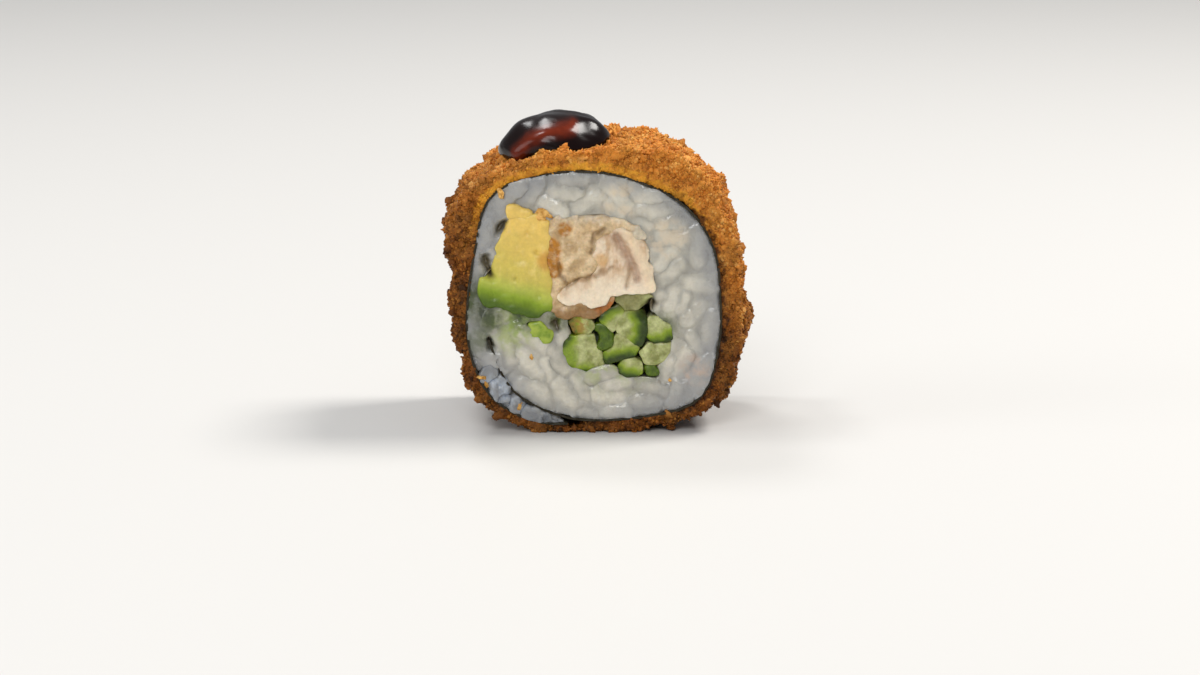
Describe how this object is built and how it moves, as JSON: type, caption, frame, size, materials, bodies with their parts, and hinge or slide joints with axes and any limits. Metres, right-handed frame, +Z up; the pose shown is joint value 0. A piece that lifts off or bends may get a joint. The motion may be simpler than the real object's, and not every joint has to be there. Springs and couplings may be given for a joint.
{
  "type": "crispy chicken roll",
  "caption": "Cut piece of a crumb-fried sushi roll with chicken, avocado and cucumber in rice and nori, standing on its crust, with a drop of brown sauce on top.",
  "frame": {"origin": "middle of the bottom of the bounding box, on the surface the roll stands on", "axes": "+Z up; the roll runs along Y, with the shown cut face at -Y; +X to the right seen from the front"},
  "size_m": [0.0499, 0.0278, 0.0511],
  "materials": {
    "fried_crumbs": "rough golden-brown crumbs, oily sheen in places",
    "nori": "dark green-black, slightly glossy where wet",
    "sushi_rice": "moist translucent white grains",
    "avocado_flesh": "soft flesh, yellow to green",
    "chicken_meat": "moist cooked white meat",
    "fried_batter": "soft tan batter with golden patches",
    "cucumber": "wet pale green flesh with dark green skin",
    "brown_sauce": "thick glossy dark red-brown sauce"
  },
  "bodies": {
    "root": {"crumb_coat": "fried_crumbs", "nori": "nori", "rice": "sushi_rice", "avocado_wedge": "avocado_flesh", "avocado_chip": "avocado_flesh", "avocado_sliver": "avocado_flesh", "chicken_meat": "chicken_meat", "chicken_batter": "fried_batter", "cucumber_stick_1": "cucumber", "cucumber_stick_2": "cucumber", "cucumber_stick_3": "cucumber", "cucumber_stick_4": "cucumber", "cucumber_stick_5": "cucumber", "cucumber_stick_6": "cucumber", "cucumber_stick_7": "cucumber", "cucumber_stick_8": "cucumber", "cucumber_stick_9": "cucumber", "cucumber_stick_10": "cucumber", "cucumber_stick_11": "cucumber", "sauce_drop": "brown_sauce"}
  },
  "joints": []
}
